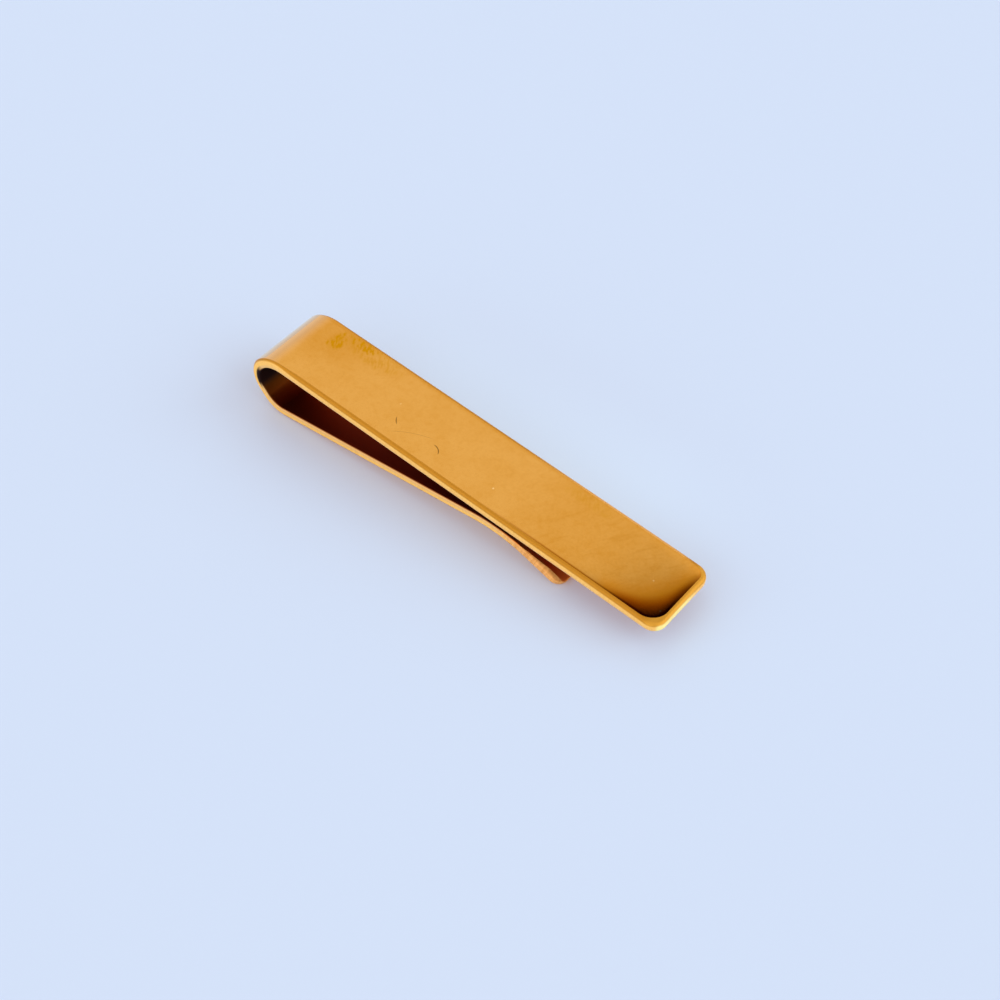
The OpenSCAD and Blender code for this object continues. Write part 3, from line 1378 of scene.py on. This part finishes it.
@dataclass
class SlideClip:
    """The whole clip: one strip, bent, divided and dressed."""

    sizes: StripSizes = field(default_factory=StripSizes)
    rim: PolishedRim = field(default_factory=PolishedRim)
    plate: GoldPlate = field(default_factory=GoldPlate)

    def __post_init__(self) -> None:
        """Works out the bent form and the blank that it is bent from."""
        self.form = ClipForm(self.sizes)
        self.blank = Blank(self.sizes, self.form, self.rim)

    def sections(self) -> list[Section]:
        """Lists the lengths that the strip is divided into.

        Returns:
            The sections, from the free end of the bar to the tip. The shoulder spans the first of the two
            joints that stand for the spring, and the fold with its riser the second.
        """
        form = self.form
        shoulder, fold, heel = (form.run_start(run) for run in (form.shoulder, form.fold, form.heel))
        leaf, pinch, tip = (form.run_start(run) for run in (form.leaf, form.pinch, form.tip))
        rides, bends = Hold.RIDES, Hold.BENDS
        return [
            Section("gold_front_bar", 0.0, shoulder, ("front_bar",), rides, ("bar",)),
            Section("gold_shoulder", shoulder, fold, ("shoulder_bend",), bends, ("bar", "fold")),
            Section("gold_fold", fold, heel, ("fold_bend", "riser"), bends, ("fold", "leaf")),
            Section("gold_heel", heel, leaf, ("heel_bend",), rides, ("leaf",)),
            Section("gold_spring_leaf", leaf, pinch, ("spring_leaf",), rides, ("leaf",)),
            Section("gold_pinch", pinch, tip, ("pinch_bend",), rides, ("leaf",)),
            Section("gold_flared_tip", tip, form.length, ("flared_tip",), rides, ("leaf",)),
        ]

    def build(self) -> None:
        """Makes every section, carries it, and has it stand for its nodes."""
        gold = self.plate.build(self.sizes, self.form, self.rim)
        blank = self.blank.build()
        for section in self.sections():
            piece = self.make_piece(blank, section)
            piece.data.materials.append(gold)
            self.carry(piece, section)
            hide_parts(*section.nodes)
            log.info("%s: %d faces, for %s", piece.name, len(piece.data.polygons), ", ".join(section.nodes))
        blank.free()

    def make_piece(self, blank: bmesh.types.BMesh, section: Section) -> bpy.types.Object:
        """Cuts one section out of the blank, closes its ends and bends it.

        Args:
            blank: The whole flat blank.
            section: The section to make.

        Returns:
            The piece, in metres, with its exact normals.
        """
        bm = blank.copy()
        others = [f for f in bm.faces if not section.first < f.calc_center_median().x < section.last]
        bmesh.ops.delete(bm, geom=others, context="FACES")
        for face in bm.faces:
            face.smooth = True
        caps = bmesh.ops.holes_fill(bm, edges=[edge for edge in bm.edges if edge.is_boundary])["faces"]
        for cap in caps:
            cap.smooth = False
        strip = bm.verts.layers.float_vector.new(STRIP_LAYER)
        rim = bm.verts.layers.float.new(RIM_LAYER)
        normals = []
        for vertex in bm.verts:
            flat = vertex.co.copy()
            vertex[strip] = flat
            vertex[rim] = self.blank.way_out(flat.x, flat.y)[0]
            normals.append(self.form.bent_direction(flat.x, self.blank.normal(flat)))
            vertex.co = self.form.bent(self.blank.polished(flat))
        bm.normal_update()
        bmesh.ops.recalc_face_normals(bm, faces=bm.faces)
        bmesh.ops.scale(bm, vec=(MM, MM, MM), verts=bm.verts)
        mesh = bpy.data.meshes.new(section.name)
        bm.to_mesh(mesh)
        bm.free()
        corners = []
        for face in mesh.polygons:
            corners += [normals[vertex] if face.use_smooth else face.normal for vertex in face.vertices]
        mesh.normals_split_custom_set(corners)
        piece = bpy.data.objects.new(section.name, mesh)
        bpy.context.scene.collection.objects.link(piece)
        return piece

    def carry(self, piece: bpy.types.Object, section: Section) -> None:
        """Hangs a piece on its body, and bakes the transform of a piece that spans two bodies into its mesh.

        Args:
            piece: The piece.
            section: The section that it was made from.
        """
        if section.hold is Hold.RIDES:
            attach(piece, section.bodies[0])
            return
        start, end = (self.form.bent(Vector((s, 0, 0))) * MM for s in (section.first, section.last))
        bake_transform(piece)


@dataclass(frozen=True)
class SoftArea:
    """A soft bright or dark area of the studio's surroundings, as the clip sees it."""

    towards: Direction
    full_angle: float
    fade_angle: float
    light: float


@dataclass(frozen=True)
class Studio:
    """A pale paper floor under soft light, with the camera where the photograph was taken from."""

    paper: Colour = (0.60, 0.685, 0.85)
    paper_roughness: float = 0.9
    paper_specular: float = 0.1
    glow: Colour = (0.25, 0.112, 0.075)
    # Painted light on the paper along the far side of the clip.
    lifted_glow: Colour = (0.31, 0.225, 0.205)
    lift_x: Ramp = (33.0, 12.0)
    lift_y: Band = Band((-2.0, 4.0), (24.0, 3.0))
    shaded: Colour = (0.364, 0.57, 0.765)
    backdrop: Colour = (0.665, 0.76, 0.945)
    floor_size: float = 3000.0
    daylight: Colour = (1.0, 1.0, 1.0)
    ambient: float = 0.65
    mirrored_most: float = 1.4
    areas: tuple[SoftArea, ...] = (
        SoftArea((0.85, 0.35, 0.30), radians(20), radians(46), 3.0),
        SoftArea((-0.85, 0.42, 0.32), radians(20), radians(45), 0.8),
        SoftArea((-0.3, -0.93, 0.2), radians(28), radians(55), 2.1),
        SoftArea((-0.28, 0.49, 0.83), radians(20), radians(46), 0.98),
        SoftArea((0.0, -0.3, 0.95), radians(18), radians(40), 0.8),
        SoftArea((0.035, 0.414, 0.909), radians(9.9), radians(16.0), 0.01),
    )
    camera_place: tuple[float, float, float] = (84.201, -90.05, 142.49)
    camera_turn: tuple[float, float, float] = (40.4993, 1.5916, 39.7878)
    camera_lens: float = 61.36
    camera_near: float = 10.0
    camera_far: float = 8000.0

    def build(self) -> None:
        """Sets up the floor, the light and the camera."""
        self.lay_floor()
        self.light_sky()
        self.set_camera()
        bpy.context.scene.view_settings.view_transform = "Standard"

    def lay_floor(self) -> None:
        """Lays the sheet of paper that the clip rests on."""
        bm = bmesh.new()
        bmesh.ops.create_grid(bm, x_segments=2, y_segments=2, size=self.floor_size * MM / 2)
        mesh = bpy.data.meshes.new("paper_floor")
        bm.to_mesh(mesh)
        bm.free()
        floor = bpy.data.objects.new("paper_floor", mesh)
        bpy.context.scene.collection.objects.link(floor)
        mesh.materials.append(self.pale_paper())

    def pale_paper(self) -> bpy.types.Material:
        """Makes the paper's finish.

        Returns:
            The material. What the camera, mirrors and glass see is paler than what lights the clip, and it
            keeps the clip's shadow, which a painted glow lightens on the far side of the clip.
        """
        material = bpy.data.materials.new("pale_paper")
        material.use_nodes = True
        sheet = NodeSheet(material.node_tree)
        inputs = {
            "Base Color": sheet.opaque(self.paper),
            "Roughness": self.paper_roughness,
            "Specular IOR Level": self.paper_specular,
        }
        paper = sheet.add("ShaderNodeBsdfPrincipled", {}, inputs)
        soft = sheet.add("ShaderNodeBsdfDiffuse", {}, {"Color": sheet.opaque(self.shaded)})
        where = sheet.add("ShaderNodeTexCoord", {}, {}, "Object")
        split = sheet.node("ShaderNodeSeparateXYZ", {}, {0: where})
        x, y = (Value(sheet, split.outputs[i]) / MM for i in range(2))
        # Painted light: the paper glows more along the far side of the clip, lightening the clip's shadow
        # there.
        painted_far_glow = self.lift_y.mask(y) * abs(x).rise(*self.lift_x)
        shine = sheet.mix(painted_far_glow, self.glow, self.lifted_glow)
        glow = sheet.add("ShaderNodeEmission", {}, {"Color": shine, "Strength": 1.0})
        seen = sheet.add("ShaderNodeAddShader", {}, {0: soft, 1: glow})
        rays = sheet.node("ShaderNodeLightPath", {}, {})
        kinds = ("Is Camera Ray", "Is Glossy Ray", "Is Transmission Ray")
        camera, glossy, through = (Value(sheet, rays.outputs[kind]) for kind in kinds)
        direct = (camera + glossy + through).at_most(1.0)
        floor_shader = sheet.add("ShaderNodeMixShader", {}, {0: direct, 1: paper, 2: seen})
        sheet.node("ShaderNodeOutputMaterial", {}, {"Surface": floor_shader})
        return material

    def light_sky(self) -> None:
        """Lights the studio from all round, with its brighter and darker areas."""
        world = bpy.data.worlds.new("soft_studio")
        world.use_nodes = True
        bpy.context.scene.world = world
        sheet = NodeSheet(world.node_tree)
        way = sheet.add("ShaderNodeTexCoord", {}, {}, "Generated")
        light: Value | float = self.ambient
        for area in self.areas:
            centre = Vector(area.towards).normalized()
            share = sheet.dot(way, tuple(centre)).rise(cos(area.fade_angle), cos(area.full_angle))
            light = light + share * (area.light - light)
        rays = sheet.node("ShaderNodeLightPath", {}, {})
        mirrored = Value(sheet, rays.outputs["Is Glossy Ray"])
        light = light - mirrored * (light - self.mirrored_most).at_least(0.0)
        lit = sheet.add("ShaderNodeBackground", {}, {"Color": sheet.opaque(self.daylight), "Strength": light})
        wall = sheet.add("ShaderNodeBackground", {}, {"Color": sheet.opaque(self.backdrop), "Strength": 1.0})
        seen = Value(sheet, rays.outputs["Is Camera Ray"])
        background = sheet.add("ShaderNodeMixShader", {}, {0: seen, 1: lit, 2: wall})
        sheet.node("ShaderNodeOutputWorld", {}, {"Surface": background})

    def set_camera(self) -> None:
        """Puts the camera at the photograph's viewing angle."""
        data = bpy.data.cameras.new("camera")
        data.lens = self.camera_lens
        data.clip_start = self.camera_near * MM
        data.clip_end = self.camera_far * MM
        camera = bpy.data.objects.new("camera", data)
        camera.location = Vector(self.camera_place) * MM
        camera.rotation_euler = Euler([radians(angle) for angle in self.camera_turn])
        bpy.context.scene.collection.objects.link(camera)
        bpy.context.scene.camera = camera


def main() -> None:
    """Builds the clip and the studio around it."""
    logging.basicConfig(level=logging.INFO, format="%(name)s %(message)s")
    SlideClip().build()
    Studio().build()


if __name__ == "__main__":
    main()
